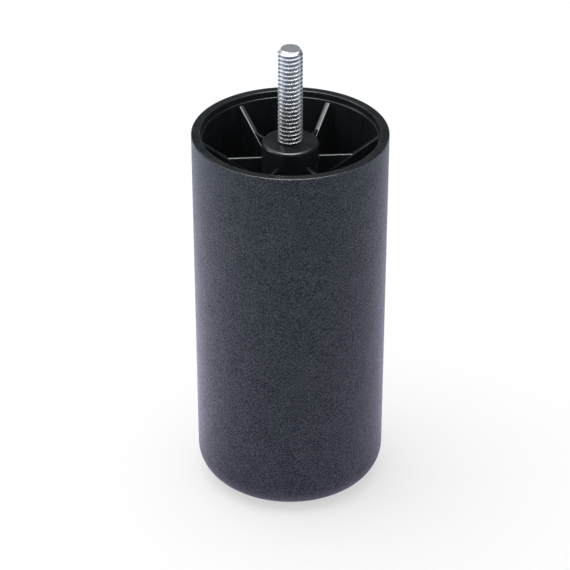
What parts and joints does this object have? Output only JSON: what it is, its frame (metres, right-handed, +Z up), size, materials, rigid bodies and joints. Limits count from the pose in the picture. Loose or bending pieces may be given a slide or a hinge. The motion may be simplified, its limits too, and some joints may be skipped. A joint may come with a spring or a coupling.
{
  "type": "bed leg",
  "caption": "Round black plastic bed leg with a rounded foot, a webbed hollow top and a threaded steel stud that screws up into the bed frame.",
  "frame": {"origin": "centre of the flat base, on the floor", "axes": "+Z up along the leg and out of the stud's tip; +X along one of the webs"},
  "size_m": [0.0634, 0.0634, 0.1567],
  "materials": {
    "black_plastic": "fine spark-eroded texture",
    "zinc_plated_steel": "bright zinc plating"
  },
  "bodies": {
    "root": {"leg_body": "black_plastic", "threaded_stud": "zinc_plated_steel"}
  },
  "joints": []
}
